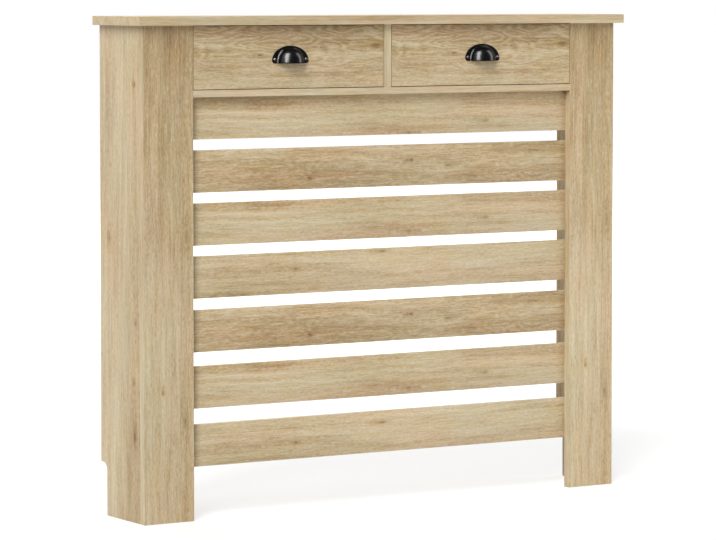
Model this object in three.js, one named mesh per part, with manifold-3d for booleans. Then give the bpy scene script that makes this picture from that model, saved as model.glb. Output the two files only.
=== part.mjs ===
// Radiator cover cabinet.
//
// An open-backed cover that stands over a radiator: two side panels, two wide front
// stiles, seven slats that let the warm air through, and a top panel with a pair of
// small drawers under it. The boards are oak-effect foiled board, the pulls are cast cups.
//
// Lengths are millimetres. +X is to the right as seen from the room, +Y points to the
// wall and +Z is up. The origin is on the floor, in the middle of the cabinet's box.

import * as THREE from "three";
import { mergeVertices } from "three/addons/utils/BufferGeometryUtils.js";
import Module from "manifold-3d";

// ---------------------------------------------------------------- driving dimensions

// Overall
const overallWidth = 1020;
const overallHeight = 880;
const topDepth = 175;
const topThickness = 16;
const topSideOverhang = 14;
const topFrontOverhang = 13.5;

// Frame boards
const boardThickness = 15;
const stileWidth = 98;
const notchDepth = 22; // the notch lets the side panels pass over the skirting board
const notchHeight = 94;
const notchRadius = 14;

// Slats, counted from the top; the gaps grow towards the floor
const slatThickness = 12;
const slatHeight = 74;
const slatGaps = [19, 18.5, 18.5, 20, 24.5, 28];
const slatOverlap = 72; // how far a slat reaches behind a stile

// Drawer compartment
const compartmentHeight = 112.5;
const shelfThickness = 12;

// Drawers
const drawerFaceGap = 1.25; // round the drawer front, and beside the drawer's sides
const drawerSideThickness = 12;
const drawerSideHeight = 90;
const drawerRunGap = 0.25; // under the drawer's sides, which slide on the shelf
const drawerStopGap = 0.25; // behind the drawer's back when it is shut
const drawerBottomThickness = 3;
const grooveDepth = 5;
const grooveAboveEdge = 8; // from the lower edge of a drawer side to its groove
const grooveFit = 0.25; // on each face and edge of the drawer bottom

// Cup pulls
const pullScrewSpacing = 64;
const pullScrewAboveLip = 7;
const pullEarRadius = 5;
const pullHeight = 31;
const pullProjection = 22;
const pullAboveFrontEdge = 43.75; // from the drawer front's lower edge to the pull's lip
const pullFlangeThickness = 1.75;
const bowlFromScrew = 6; // from a screw's middle to the side of the bowl
const bowlHeight = 26.5;
const bowlWall = 1.75;
const bowlSquareness = 2.4; // exponent of the bowl's profile: 2 is an ellipse
const collarWidth = 1.5; // the raised step where the bowl leaves the flange
const collarThickness = 3.25;

// Screws: the shank's and the head's radius, the length under the head and the head's height
const pullScrew = { shank: 1.375, head: 2.75, length: 12, headHeight: 1.75 };
const slatScrew = { shank: 1.75, head: 3.5, length: 22, headHeight: 2.25 };
const bracketScrew = { shank: 1.75, head: 3.5, length: 12, headHeight: 2.25 };
const screwTip = 3; // length of the pointed end
const screwHeadEdge = 0.45; // the height of a head's upright edge, as a share of its height
const screwHeadCrown = [0.72, 0.9]; // where its crown bends: shares of its radius and height
const screwClearance = 0.3; // between a screw and the wall or the end of its hole
const slatScrewInset = 30; // from the stile's inner edge to the slat's screws

// Wall brackets
const bracketLeg = 30;
const bracketWidth = 20;
const bracketThickness = 2;
const bracketBend = 2; // inner bend radius
const bracketHoleInset = 18; // from the bracket's outer corner to the hole in each leg
const wallHoleRadius = 2.5;

// Cam locks
const camRadius = 7.5;
const camDepth = 12;
const camGap = 0.25; // between a cam lock and the wall and the floor of its pocket
const camInset = 24; // from the board's edge to the middle of the cam lock
const camSlotWidth = 1.5;
const camSlotLength = 9;
const camSlotDepth = 1.5;
const topCamFromEnds = 35; // from the side panel's front and back edges
const stileCamHeights = [160, 600];

// How far a cutter runs past the face that it opens
const cutterOverrun = 1;

// Facets
const screwSides = 12;
const camSides = 24;
const notchSteps = 10;
const bendSteps = 6;
const archSteps = 12;
const bowlSides = 48; // all the way round; half of them are in front of the drawer
const bowlSteps = 11; // from the lip to the crown

// ---------------------------------------------------------------- worked-out places

// Meeting faces lie in exactly one plane when each place is a whole 64th of a millimetre.
const onGrid = (value) => Math.round(value * 64) / 64;

const bodyHalfWidth = overallWidth / 2 - topSideOverhang;
const bodyDepth = topDepth - topFrontOverhang;
const frontY = onGrid((Math.max(pullProjection, topFrontOverhang) - bodyDepth) / 2);
const stileBackY = frontY + boardThickness;
const backY = frontY + bodyDepth;
const topUnderZ = overallHeight - topThickness;
const shelfTopZ = topUnderZ - compartmentHeight;
const shelfUnderZ = shelfTopZ - shelfThickness;
const openingHalfWidth = bodyHalfWidth - stileWidth;
const innerHalfWidth = bodyHalfWidth - boardThickness;
const compartmentBackY = backY - boardThickness;
const slatBackY = stileBackY + slatThickness;
const slatScrewX = openingHalfWidth + slatScrewInset;
const pocketHalfWidth = (openingHalfWidth + boardThickness + innerHalfWidth) / 2;

const sides = [
  { name: "left", sign: -1 },
  { name: "right", sign: 1 },
];

// ---------------------------------------------------------------- materials

const oakBoard = new THREE.MeshStandardMaterial({ color: 0xc2a67c, roughness: 0.55, metalness: 0 });
const hardboard = new THREE.MeshStandardMaterial({ color: 0x8d6a45, roughness: 0.7, metalness: 0 });
const blackCast = new THREE.MeshStandardMaterial({ color: 0x14120f, roughness: 0.25, metalness: 0.6 });
const zincSteel = new THREE.MeshStandardMaterial({ color: 0xb9bbbd, roughness: 0.35, metalness: 1 });
const darkSteel = new THREE.MeshStandardMaterial({ color: 0x2b2a28, roughness: 0.3, metalness: 0.9 });
const castZinc = new THREE.MeshStandardMaterial({ color: 0x9c9d9f, roughness: 0.45, metalness: 1 });

// ---------------------------------------------------------------- solid modelling

const wasm = await Module();
wasm.setup();

function toSolid(geometry) {
  const bare = new THREE.BufferGeometry();
  const source = geometry.index ? geometry.toNonIndexed() : geometry;
  bare.setAttribute("position", source.getAttribute("position").clone());
  const merged = mergeVertices(bare);
  const mesh = new wasm.Mesh({
    numProp: 3,
    vertProperties: merged.getAttribute("position").array,
    triVerts: new Uint32Array(merged.index.array),
  });
  return new wasm.Manifold(mesh);
}

function toGeometry(solid) {
  const mesh = solid.getMesh();
  const positions = new Float32Array(mesh.numVert * 3);
  for (let i = 0; i < mesh.numVert; i++) {
    const start = i * mesh.numProp;
    positions.set(mesh.vertProperties.subarray(start, start + 3), i * 3);
  }
  const geometry = new THREE.BufferGeometry();
  geometry.setAttribute("position", new THREE.BufferAttribute(positions, 3));
  geometry.setIndex(new THREE.BufferAttribute(new Uint32Array(mesh.triVerts), 1));
  return geometry;
}

// The first shape with all the cutters taken away from it.
function cut(geometry, cutters) {
  let solid = toSolid(geometry);
  for (const cutter of cutters) {
    solid = solid.subtract(toSolid(cutter));
  }
  return toGeometry(solid);
}

function join(geometries) {
  const [first, ...others] = geometries.map(toSolid);
  return toGeometry(others.reduce((whole, other) => whole.add(other), first));
}

// A block between two places along each axis.
function block([x0, x1], [y0, y1], [z0, z1]) {
  const [left, right, front, back, low, high] = [x0, x1, y0, y1, z0, z1].map(onGrid);
  const geometry = new THREE.BoxGeometry(right - left, back - front, high - low);
  return geometry.translate((left + right) / 2, (front + back) / 2, (low + high) / 2);
}

// An outline drawn in Y and Z, run along X.
function extrudeAlongX(outline, x0, x1, curveSegments) {
  const depth = onGrid(x1) - onGrid(x0);
  const geometry = new THREE.ExtrudeGeometry(outline, { depth, curveSegments, bevelEnabled: false });
  const turn = new THREE.Matrix4().makeBasis(
    new THREE.Vector3(0, 1, 0),
    new THREE.Vector3(0, 0, 1),
    new THREE.Vector3(1, 0, 0),
  );
  return geometry.applyMatrix4(turn).translate(onGrid(x0), 0, 0);
}

// An outline drawn in X and Z, run from the plane y = 0 towards the room.
function extrudeToRoom(outline, depth, curveSegments) {
  const geometry = new THREE.ExtrudeGeometry(outline, { depth, curveSegments, bevelEnabled: false });
  const turn = new THREE.Matrix4().makeBasis(
    new THREE.Vector3(1, 0, 0),
    new THREE.Vector3(0, 0, 1),
    new THREE.Vector3(0, -1, 0),
  );
  return geometry.applyMatrix4(turn);
}

// A round bar along Y from the plane y = 0, backwards for a positive length.
function barAlongY(radius, length, sideCount) {
  const geometry = new THREE.CylinderGeometry(radius, radius, Math.abs(length), sideCount);
  return geometry.translate(0, length / 2, 0);
}

function piece(name, geometry, material, x = 0, y = 0, z = 0) {
  const mesh = new THREE.Mesh(geometry, material);
  mesh.name = name;
  mesh.position.set(onGrid(x), onGrid(y), onGrid(z));
  return mesh;
}

// A pan-head screw. Its head sits on the plane y = 0 and its shank points along -Y.
function screwGeometry({ shank, head, length, headHeight }) {
  const profile = [
    new THREE.Vector2(0, -length),
    new THREE.Vector2(shank, screwTip - length),
    new THREE.Vector2(shank, 0),
    new THREE.Vector2(head, 0),
    new THREE.Vector2(head, screwHeadEdge * headHeight),
    new THREE.Vector2(screwHeadCrown[0] * head, screwHeadCrown[1] * headHeight),
    new THREE.Vector2(0, headHeight),
  ];
  return new THREE.LatheGeometry(profile, screwSides);
}

// What a screw's hole takes away: the shank and its clearance, from just above the plane
// y = 0 to just past the tip.
function screwHole({ shank, length }) {
  const depth = cutterOverrun + length + screwClearance;
  return barAlongY(shank + screwClearance, -depth, screwSides).translate(0, cutterOverrun, 0);
}

// ---------------------------------------------------------------- carcass boards

const carcass = new THREE.Group();

// The panel's outline from the front edge to the wall, with the skirting notch at the
// foot of its back edge. The notch's inner corner is rounded.
function sidePanelOutline() {
  const notchY = backY - notchDepth;
  const outline = new THREE.Shape();
  outline.moveTo(onGrid(stileBackY), 0);
  outline.lineTo(onGrid(notchY), 0);
  outline.lineTo(onGrid(notchY), notchHeight - notchRadius);
  outline.absarc(
    onGrid(notchY) + notchRadius, notchHeight - notchRadius, notchRadius, Math.PI, Math.PI / 2, true,
  );
  outline.lineTo(onGrid(backY), notchHeight);
  outline.lineTo(onGrid(backY), onGrid(topUnderZ));
  outline.lineTo(onGrid(stileBackY), onGrid(topUnderZ));
  return outline;
}

// The middles of the cam locks in a side panel: two under the top and two behind the stile.
function camPlaces() {
  const underTop = [stileBackY + topCamFromEnds, backY - topCamFromEnds].map((y) => ({
    y,
    z: topUnderZ - camInset,
  }));
  const behindStile = stileCamHeights.map((z) => ({ y: stileBackY + camInset, z }));
  return [...underTop, ...behindStile];
}

// A bar along X that starts in the side panel's inner face and goes into the board.
function camBar(radius, depth, sign) {
  const bar = new THREE.CylinderGeometry(radius, radius, depth, camSides);
  return bar.rotateZ(Math.PI / 2).translate((sign * depth) / 2, 0, 0);
}

// The disc of a cam lock, with the cross slot that a screwdriver turns.
function camLockGeometry(sign) {
  const slotX = [-camSlotDepth, camSlotDepth];
  const along = [-camSlotLength / 2, camSlotLength / 2];
  const across = [-camSlotWidth / 2, camSlotWidth / 2];
  const slots = [block(slotX, along, across), block(slotX, across, along)];
  return cut(camBar(camRadius, camDepth, sign), slots);
}

function addSidePanels() {
  for (const { name, sign } of sides) {
    const inner = sign * innerHalfWidth;
    const outer = sign * bodyHalfWidth;
    const panel = extrudeAlongX(
      sidePanelOutline(), Math.min(inner, outer), Math.max(inner, outer), notchSteps,
    );
    const pockets = camPlaces().map(({ y, z }) =>
      camBar(camRadius + camGap, camDepth + camGap, sign).translate(inner, y, z),
    );
    carcass.add(piece(`${name}_side_panel`, cut(panel, pockets), oakBoard));
    camPlaces().forEach(({ y, z }, index) => {
      const lockName = `${name}_cam_lock_${index + 1}`;
      carcass.add(piece(lockName, camLockGeometry(sign), castZinc, inner, y, z));
    });
  }
}

// The heights of the slats' lower edges, from the top slat down.
function slatBottoms() {
  const bottoms = [shelfUnderZ - slatHeight];
  for (const gap of slatGaps) {
    bottoms.push(bottoms.at(-1) - gap - slatHeight);
  }
  return bottoms;
}

// The slats' screws come from behind, through the slat and into the stile.
function slatScrewHoles(x) {
  return slatBottoms().map((bottom) =>
    screwHole(slatScrew).translate(x, slatBackY, bottom + slatHeight / 2),
  );
}

function addStiles() {
  for (const { name, sign } of sides) {
    const edges = [sign * openingHalfWidth, sign * bodyHalfWidth].sort((a, b) => a - b);
    const stile = block(edges, [frontY, stileBackY], [0, topUnderZ]);
    const holes = slatScrewHoles(sign * slatScrewX);
    carcass.add(piece(`${name}_front_stile`, cut(stile, holes), oakBoard));
  }
}

function addSlats() {
  const halfLength = openingHalfWidth + slatOverlap;
  slatBottoms().forEach((bottom, index) => {
    const middleZ = bottom + slatHeight / 2;
    const slat = block(
      [-halfLength, halfLength], [stileBackY, slatBackY], [bottom, bottom + slatHeight],
    );
    const holes = sides.map(({ sign }) =>
      screwHole(slatScrew).translate(sign * slatScrewX, slatBackY, middleZ),
    );
    carcass.add(piece(`slat_${index + 1}`, cut(slat, holes), oakBoard));
    for (const { name, sign } of sides) {
      const screwName = `slat_${index + 1}_${name}_screw`;
      const screw = screwGeometry(slatScrew);
      carcass.add(piece(screwName, screw, zincSteel, sign * slatScrewX, slatBackY, middleZ));
    }
  });
}

// The shelf runs from side panel to side panel, and a tongue between the stiles brings
// its front edge flush with them.
function shelfOutline() {
  const outline = new THREE.Shape();
  outline.moveTo(-openingHalfWidth, frontY);
  outline.lineTo(openingHalfWidth, frontY);
  outline.lineTo(openingHalfWidth, stileBackY);
  outline.lineTo(innerHalfWidth, stileBackY);
  outline.lineTo(innerHalfWidth, backY);
  outline.lineTo(-innerHalfWidth, backY);
  outline.lineTo(-innerHalfWidth, stileBackY);
  outline.lineTo(-openingHalfWidth, stileBackY);
  return outline;
}

function addCompartment() {
  const height = [shelfTopZ, topUnderZ];
  const shelf = new THREE.ExtrudeGeometry(shelfOutline(), {
    depth: onGrid(shelfTopZ) - onGrid(shelfUnderZ),
    bevelEnabled: false,
  });
  carcass.add(piece("drawer_shelf", shelf, oakBoard, 0, 0, shelfUnderZ));

  const halfBoard = boardThickness / 2;
  const divider = block([-halfBoard, halfBoard], [frontY, compartmentBackY], height);
  carcass.add(piece("centre_divider", divider, oakBoard));

  for (const { name, sign } of sides) {
    const faces = [sign * openingHalfWidth, sign * (openingHalfWidth + boardThickness)];
    faces.sort((a, b) => a - b);
    carcass.add(piece(`${name}_partition`, block(faces, [stileBackY, backY], height), oakBoard));
  }

  const back = block([-openingHalfWidth, openingHalfWidth], [compartmentBackY, backY], height);
  carcass.add(piece("compartment_back", back, oakBoard));
}

// ---------------------------------------------------------------- top and wall brackets

// The bracket's L, with its outer corner at the top of the wall face.
function bracketOutline() {
  const innerY = backY - bracketThickness;
  const innerZ = topUnderZ - bracketThickness;
  const outline = new THREE.Shape();
  outline.moveTo(backY, topUnderZ);
  outline.lineTo(backY - bracketLeg, topUnderZ);
  outline.lineTo(backY - bracketLeg, innerZ);
  outline.lineTo(innerY - bracketBend, innerZ);
  outline.absarc(innerY - bracketBend, innerZ - bracketBend, bracketBend, Math.PI / 2, 0, true);
  outline.lineTo(innerY, topUnderZ - bracketLeg);
  outline.lineTo(backY, topUnderZ - bracketLeg);
  return outline;
}

function addTopAndBrackets() {
  const screwY = backY - bracketHoleInset;
  const screwZ = topUnderZ - bracketThickness;
  const screwHoles = sides.map(({ sign }) =>
    screwHole(bracketScrew).rotateX(-Math.PI / 2).translate(sign * pocketHalfWidth, screwY, screwZ),
  );
  const top = block(
    [-overallWidth / 2, overallWidth / 2],
    [frontY - topFrontOverhang, backY],
    [topUnderZ, overallHeight],
  );
  carcass.add(piece("top_panel", cut(top, screwHoles), oakBoard));

  sides.forEach(({ name, sign }, index) => {
    const x = sign * pocketHalfWidth;
    const ell = extrudeAlongX(
      bracketOutline(), x - bracketWidth / 2, x + bracketWidth / 2, bendSteps,
    );
    const wallHoleLength = bracketThickness + 2 * cutterOverrun;
    const wallHole = barAlongY(wallHoleRadius, -wallHoleLength, screwSides)
      .translate(x, backY + cutterOverrun, topUnderZ - bracketHoleInset);
    const bracket = cut(ell, [wallHole, screwHoles[index]]);
    carcass.add(piece(`${name}_wall_bracket`, bracket, zincSteel));
    const screw = screwGeometry(bracketScrew).rotateX(-Math.PI / 2);
    carcass.add(piece(`${name}_bracket_screw`, screw, zincSteel, x, screwY, screwZ));
  });
}

// ---------------------------------------------------------------- cup pull

// A full dome over the plane z = 0, with a straight skirt below that plane. Its plan is an
// ellipse and its profile a superellipse.
function domeGeometry(halfWidth, projection, height, skirt) {
  const profile = [new THREE.Vector2(0, -skirt), new THREE.Vector2(halfWidth, -skirt)];
  for (let step = skirt > 0 ? 0 : 1; step < bowlSteps; step++) {
    const angle = (step / bowlSteps) * (Math.PI / 2);
    const across = Math.cos(angle) ** (2 / bowlSquareness);
    const up = Math.sin(angle) ** (2 / bowlSquareness);
    profile.push(new THREE.Vector2(halfWidth * across, height * up));
  }
  profile.push(new THREE.Vector2(0, height));
  const dome = new THREE.LatheGeometry(profile, bowlSides);
  return dome.rotateX(Math.PI / 2).scale(1, projection / halfWidth, 1);
}

// Half an ellipse over two rounded lower corners, standing on the lip line.
function archOutline(halfWidth, height, cornerRadius) {
  const cornerX = halfWidth - cornerRadius;
  const outline = new THREE.Shape();
  outline.moveTo(-cornerX, 0);
  outline.lineTo(cornerX, 0);
  outline.absarc(cornerX, cornerRadius, cornerRadius, -Math.PI / 2, 0, false);
  outline.absellipse(0, cornerRadius, halfWidth, height - cornerRadius, 0, Math.PI, false, 0);
  outline.absarc(-cornerX, cornerRadius, cornerRadius, Math.PI, 1.5 * Math.PI, false);
  return outline;
}

// The cup pull, with its lip line at z = 0 and its flange on the plane y = 0.
function cupPullGeometry() {
  const flangeHalf = pullScrewSpacing / 2 + pullEarRadius;
  const bowlHalf = pullScrewSpacing / 2 - bowlFromScrew;
  const flange = extrudeToRoom(
    archOutline(flangeHalf, pullHeight, pullEarRadius), pullFlangeThickness, archSteps,
  );
  const collar = extrudeToRoom(
    archOutline(bowlHalf + collarWidth, bowlHeight + collarWidth, collarWidth),
    collarThickness,
    archSteps,
  );
  const bowl = domeGeometry(bowlHalf, pullProjection, bowlHeight, 0);
  const hollow = domeGeometry(
    bowlHalf - bowlWall, pullProjection - bowlWall, bowlHeight - bowlWall, cutterOverrun,
  );
  const behind = block(
    [-flangeHalf, flangeHalf], [0, 2 * pullProjection], [-cutterOverrun, 2 * pullHeight],
  );
  const screwHoles = sides.map(({ sign }) =>
    screwHole(pullScrew)
      .rotateX(Math.PI)
      .translate((sign * pullScrewSpacing) / 2, -pullFlangeThickness, pullScrewAboveLip),
  );
  return cut(join([flange, collar, bowl]), [hollow, behind, ...screwHoles]);
}

// ---------------------------------------------------------------- drawers

// The bay between the divider and a partition. A drawer is laid out from the middle of its
// bay: x from that middle, y from the front face and z from the shelf.
const bayHalfWidth = (openingHalfWidth - boardThickness / 2) / 2;
const bayMiddleX = onGrid(boardThickness / 2 + bayHalfWidth);

function addDrawer(name, sign) {
  const drawer = new THREE.Group();
  drawer.position.set(sign * bayMiddleX, onGrid(frontY), onGrid(shelfTopZ));

  const halfWidth = bayHalfWidth - drawerFaceGap;
  const innerHalf = halfWidth - drawerSideThickness;
  const rearY = compartmentBackY - frontY - drawerStopGap;
  const backFrontY = rearY - drawerSideThickness;
  const sideTopZ = drawerRunGap + drawerSideHeight;
  const bottomLowZ = drawerRunGap + grooveAboveEdge + grooveFit;
  const bottomHighZ = bottomLowZ + drawerBottomThickness;
  const grooveZ = [bottomLowZ - grooveFit, bottomHighZ + grooveFit];
  const lipZ = drawerFaceGap + pullAboveFrontEdge;

  // One cutter for the grooves in the four boards: the drawer bottom with its fit.
  const groove = block(
    [-innerHalf - grooveDepth, innerHalf + grooveDepth],
    [boardThickness - grooveDepth, backFrontY + grooveDepth],
    grooveZ,
  );
  const pullScrewPlaces = sides.map((side) => ({
    label: side.name,
    x: (side.sign * pullScrewSpacing) / 2,
    z: lipZ + pullScrewAboveLip,
  }));

  const face = block(
    [-halfWidth, halfWidth],
    [0, boardThickness],
    [drawerFaceGap, compartmentHeight - drawerFaceGap],
  );
  const faceHoles = pullScrewPlaces.map(({ x, z }) =>
    screwHole(pullScrew).rotateX(Math.PI).translate(x, -pullFlangeThickness, z),
  );
  drawer.add(piece(`${name}_drawer_front`, cut(face, [groove, ...faceHoles]), oakBoard));

  for (const side of sides) {
    const across = [side.sign * innerHalf, side.sign * halfWidth].sort((a, b) => a - b);
    const sideBoard = block(across, [boardThickness, rearY], [drawerRunGap, sideTopZ]);
    drawer.add(piece(`${name}_drawer_${side.name}_side`, cut(sideBoard, [groove]), oakBoard));
  }

  const back = block([-innerHalf, innerHalf], [backFrontY, rearY], [drawerRunGap, sideTopZ]);
  drawer.add(piece(`${name}_drawer_back`, cut(back, [groove]), oakBoard));

  const bottomHalf = innerHalf + grooveDepth - grooveFit;
  const bottomY = [boardThickness - grooveDepth + grooveFit, backFrontY + grooveDepth - grooveFit];
  const bottom = block([-bottomHalf, bottomHalf], bottomY, [bottomLowZ, bottomHighZ]);
  drawer.add(piece(`${name}_drawer_bottom`, bottom, hardboard));

  drawer.add(piece(`${name}_cup_pull`, cupPullGeometry(), blackCast, 0, 0, lipZ));
  for (const { label, x, z } of pullScrewPlaces) {
    const screw = screwGeometry(pullScrew).rotateX(Math.PI);
    drawer.add(piece(`${name}_pull_${label}_screw`, screw, darkSteel, x, -pullFlangeThickness, z));
  }
  return drawer;
}

// ---------------------------------------------------------------- assembly

addSidePanels();
addStiles();
addSlats();
addCompartment();
addTopAndBrackets();

const cabinet = new THREE.Group();
cabinet.add(carcass);
for (const { name, sign } of sides) {
  cabinet.add(addDrawer(name, sign));
}

export default cabinet;
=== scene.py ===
# %% [markdown]
# # A radiator cover cabinet in oak foil
# The CAD model already holds every board, screw and drawer at its real size. This lesson
# gives it its looks: a light, a camera and a floor, then the boards with their printed
# foil, the cast pulls and the small hardware. Where a part needs a finer shape, a new
# mesh stands in for it.

# %% Load the CAD frame
import math

import bmesh
import bpy
from mathutils import Euler, Matrix, Vector


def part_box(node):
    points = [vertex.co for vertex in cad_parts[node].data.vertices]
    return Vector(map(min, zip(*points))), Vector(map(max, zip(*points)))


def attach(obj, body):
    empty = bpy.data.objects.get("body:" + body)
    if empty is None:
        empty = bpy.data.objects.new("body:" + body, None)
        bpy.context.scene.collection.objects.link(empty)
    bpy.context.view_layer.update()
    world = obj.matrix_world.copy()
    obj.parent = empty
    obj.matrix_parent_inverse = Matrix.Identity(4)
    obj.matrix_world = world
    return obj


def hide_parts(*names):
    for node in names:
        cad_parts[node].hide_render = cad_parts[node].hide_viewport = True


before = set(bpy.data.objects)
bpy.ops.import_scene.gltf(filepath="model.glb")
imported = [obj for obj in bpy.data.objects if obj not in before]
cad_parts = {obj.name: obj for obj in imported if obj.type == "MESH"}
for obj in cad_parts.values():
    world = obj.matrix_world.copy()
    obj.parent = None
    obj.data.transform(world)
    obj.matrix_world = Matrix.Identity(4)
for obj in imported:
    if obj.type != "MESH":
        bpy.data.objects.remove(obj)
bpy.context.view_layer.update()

# %% [markdown]
# Blender works in metres, and furniture is drawn in millimetres. One constant turns one
# into the other, so every size below can be read as a joiner would say it. A new object
# only shows once it is linked to the scene, and one small function does that too.

# %% Units and objects
MM = 0.001


def new_object(name, data):
    """An object in the scene for this mesh, lamp or camera."""
    item = bpy.data.objects.new(name, data)
    bpy.context.scene.collection.objects.link(item)
    return item


# %% [markdown]
# ## Camera
# The picture was taken with a long lens, well to the left of the cabinet and a little
# above its top. A long lens keeps upright edges upright. The camera is turned down only
# slightly and its frame is shifted instead, as an architect's camera does, because a
# steeper tilt would make the sides lean towards each other.

# %% Camera at the picture's viewpoint
CAMERA_PLACE = Vector((-3.3713, -5.4452, 0.9289))
CAMERA_YAW = math.radians(31.613)
CAMERA_PITCH = math.radians(-3.366)

camera_data = bpy.data.cameras.new("camera")
camera_data.sensor_width = 36
camera_data.lens = 178.1
camera_data.shift_y = -0.103
camera = new_object("camera", camera_data)
camera.location = CAMERA_PLACE
camera.rotation_euler = Euler((math.radians(90) + CAMERA_PITCH, 0, -CAMERA_YAW))
bpy.context.scene.camera = camera
print("camera", round(CAMERA_PLACE.length, 2), "m from the cabinet")

# %% [markdown]
# ## Colours and nodes
# A colour picked from a picture is an sRGB value, but shader sockets want linear light.
# One function turns the one into the other. Another one adds a node, with its settings
# and its links, so that each material below reads from top to bottom as a recipe.


# %% Helpers for materials
def linear(hex_colour):
    """A colour such as #c8b48c as linear RGBA."""
    channels = [int(hex_colour[start : start + 2], 16) / 255 for start in (1, 3, 5)]
    light = [c / 12.92 if c <= 0.04045 else ((c + 0.055) / 1.055) ** 2.4 for c in channels]
    return (*light, 1.0)


def feed(node, inputs):
    """Sets a node's inputs to values, or links them to sockets or nodes' first sockets."""
    for key, value in inputs.items():
        if isinstance(value, bpy.types.Node):
            value = value.outputs[0]
        if isinstance(value, bpy.types.NodeSocket):
            node.id_data.links.new(value, node.inputs[key])
        else:
            node.inputs[key].default_value = value


def add(tree, kind, inputs=None, **settings):
    """A new node with these settings and these inputs."""
    node = tree.nodes.new(kind)
    for name, value in settings.items():
        setattr(node, name, value)
    feed(node, inputs or {})
    return node


def new_material(name):
    """An empty material with its node tree and its Principled shader."""
    material = bpy.data.materials.new(name)
    material.use_nodes = True
    return material, material.node_tree, material.node_tree.nodes["Principled BSDF"]


def background_rays(tree):
    """1 for the camera, mirror and glass rays that show the background, 0 for the rest."""
    path = add(tree, "ShaderNodeLightPath").outputs
    seen = path["Is Camera Ray"]
    for kind in ("Is Glossy Ray", "Is Transmission Ray"):
        seen = add(tree, "ShaderNodeMath", {0: seen, 1: path[kind]}, operation="MAXIMUM")
    return seen


print("white is", linear("#ffffff"))

# %% [markdown]
# ## Light
# A white studio. The main soft box hangs high on the left, so the overhanging top and the
# pulls lay soft shadows downwards. A second one lights the side panel, a small one near
# the floor softens the shadows, and two more keep the back and the right side from going
# dark. The world is plain white where camera, mirror and glass rays meet it and dim as a
# light, so the background is white and the boards don't burn out.

# %% World
WORLD_LIGHT = 0.08

world = bpy.data.worlds.new("white studio")
bpy.context.scene.world = world
world.use_nodes = True
tree = world.node_tree
tree.nodes.clear()
seen = background_rays(tree)
lighting = add(tree, "ShaderNodeBackground", {"Color": (1, 1, 1, 1), "Strength": WORLD_LIGHT})
backdrop = add(tree, "ShaderNodeBackground", {"Color": (1, 1, 1, 1), "Strength": 1.0})
mix = add(tree, "ShaderNodeMixShader", {0: seen, 1: lighting, 2: backdrop})
add(tree, "ShaderNodeOutputWorld", {"Surface": mix})
bpy.context.scene.view_settings.view_transform = "Standard"
print("world gives", WORLD_LIGHT, "and shows 1.0")

# %% Soft boxes
# Each one: its direction from the cabinet as an angle round it (0 is straight in front,
# minus is left) and an angle up from the floor, its distance in metres, its width and
# height in metres, and its power in watts.
AIM = Vector((0, 0, 0.5))
SOFT_BOXES = {
    "main": (-46, 35, 20.0, 7.0, 14.0, 3880),
    "side": (-88, 30, 10.0, 5.0, 8.0, 265),
    "low fill": (38, -10, 2.3, 1.3, 0.2, 12.5),
    "back": (175, 30, 10.0, 5.0, 6.0, 700),
    "right": (95, 28, 10.0, 4.0, 6.0, 240),
}


def soft_box(name, angle, height_angle, distance, wide, high, power):
    """An area lamp in this direction from the cabinet, facing it."""
    lamp = bpy.data.lights.new(name, "AREA")
    lamp.shape = "RECTANGLE"
    lamp.size = wide
    lamp.size_y = high
    lamp.energy = power
    turn = math.radians(angle)
    lift = math.radians(height_angle)
    way = Vector((math.sin(turn) * math.cos(lift), -math.cos(turn) * math.cos(lift), math.sin(lift)))
    box = new_object(name, lamp)
    box.location = AIM + distance * way
    box.rotation_euler = way.to_track_quat("Z", "Y").to_euler()
    box.visible_camera = False
    print(name, "soft box at", [round(value, 2) for value in box.location])
    return box


for name, setting in SOFT_BOXES.items():
    soft_box(name, *setting)

# %% [markdown]
# ## Floor
# The floor is a wide grey sheet. It catches the soft shadow of the feet, and a glow that
# only camera, mirror and glass rays see lifts it to the white of the backdrop. The glow is
# weaker near the cabinet, where the lamps do the rest and a shadow has to stay visible.

# %% Floor
FLOOR_HALF = 60
FLOOR_GREY = (0.5, 0.5, 0.5, 1)
# The glow grows from near to far between these two distances from the cabinet, in metres.
GLOW_NEAR, GLOW_FAR = 0.56, 0.96
GLOW_FROM, GLOW_TO = 1.0, 3.0

floor_mesh = bpy.data.meshes.new("floor")
corners = [(-FLOOR_HALF, -FLOOR_HALF, 0), (FLOOR_HALF, -FLOOR_HALF, 0)]
corners += [(FLOOR_HALF, FLOOR_HALF, 0), (-FLOOR_HALF, FLOOR_HALF, 0)]
floor_mesh.from_pydata(corners, [], [(0, 1, 2, 3)])
floor = new_object("floor", floor_mesh)

floor_paint, tree, shader = new_material("matt white paint")
tree.nodes.clear()
seen = background_rays(tree)
place = add(tree, "ShaderNodeTexCoord").outputs["Object"]
away = add(tree, "ShaderNodeVectorMath", {0: place}, operation="LENGTH")
glow = add(
    tree,
    "ShaderNodeMapRange",
    {"Value": away.outputs["Value"], 1: GLOW_FROM, 2: GLOW_TO, 3: GLOW_NEAR, 4: GLOW_FAR},
    interpolation_type="SMOOTHSTEP",
)
glow = add(tree, "ShaderNodeMath", {0: seen, 1: glow}, operation="MULTIPLY")
matt = add(tree, "ShaderNodeBsdfDiffuse", {"Color": FLOOR_GREY})
lit = add(tree, "ShaderNodeEmission", {"Strength": glow})
both = add(tree, "ShaderNodeAddShader", {0: matt, 1: lit})
add(tree, "ShaderNodeOutputMaterial", {"Surface": both})
floor_mesh.materials.append(floor_paint)
print("floor", 2 * FLOOR_HALF, "m wide")

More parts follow.
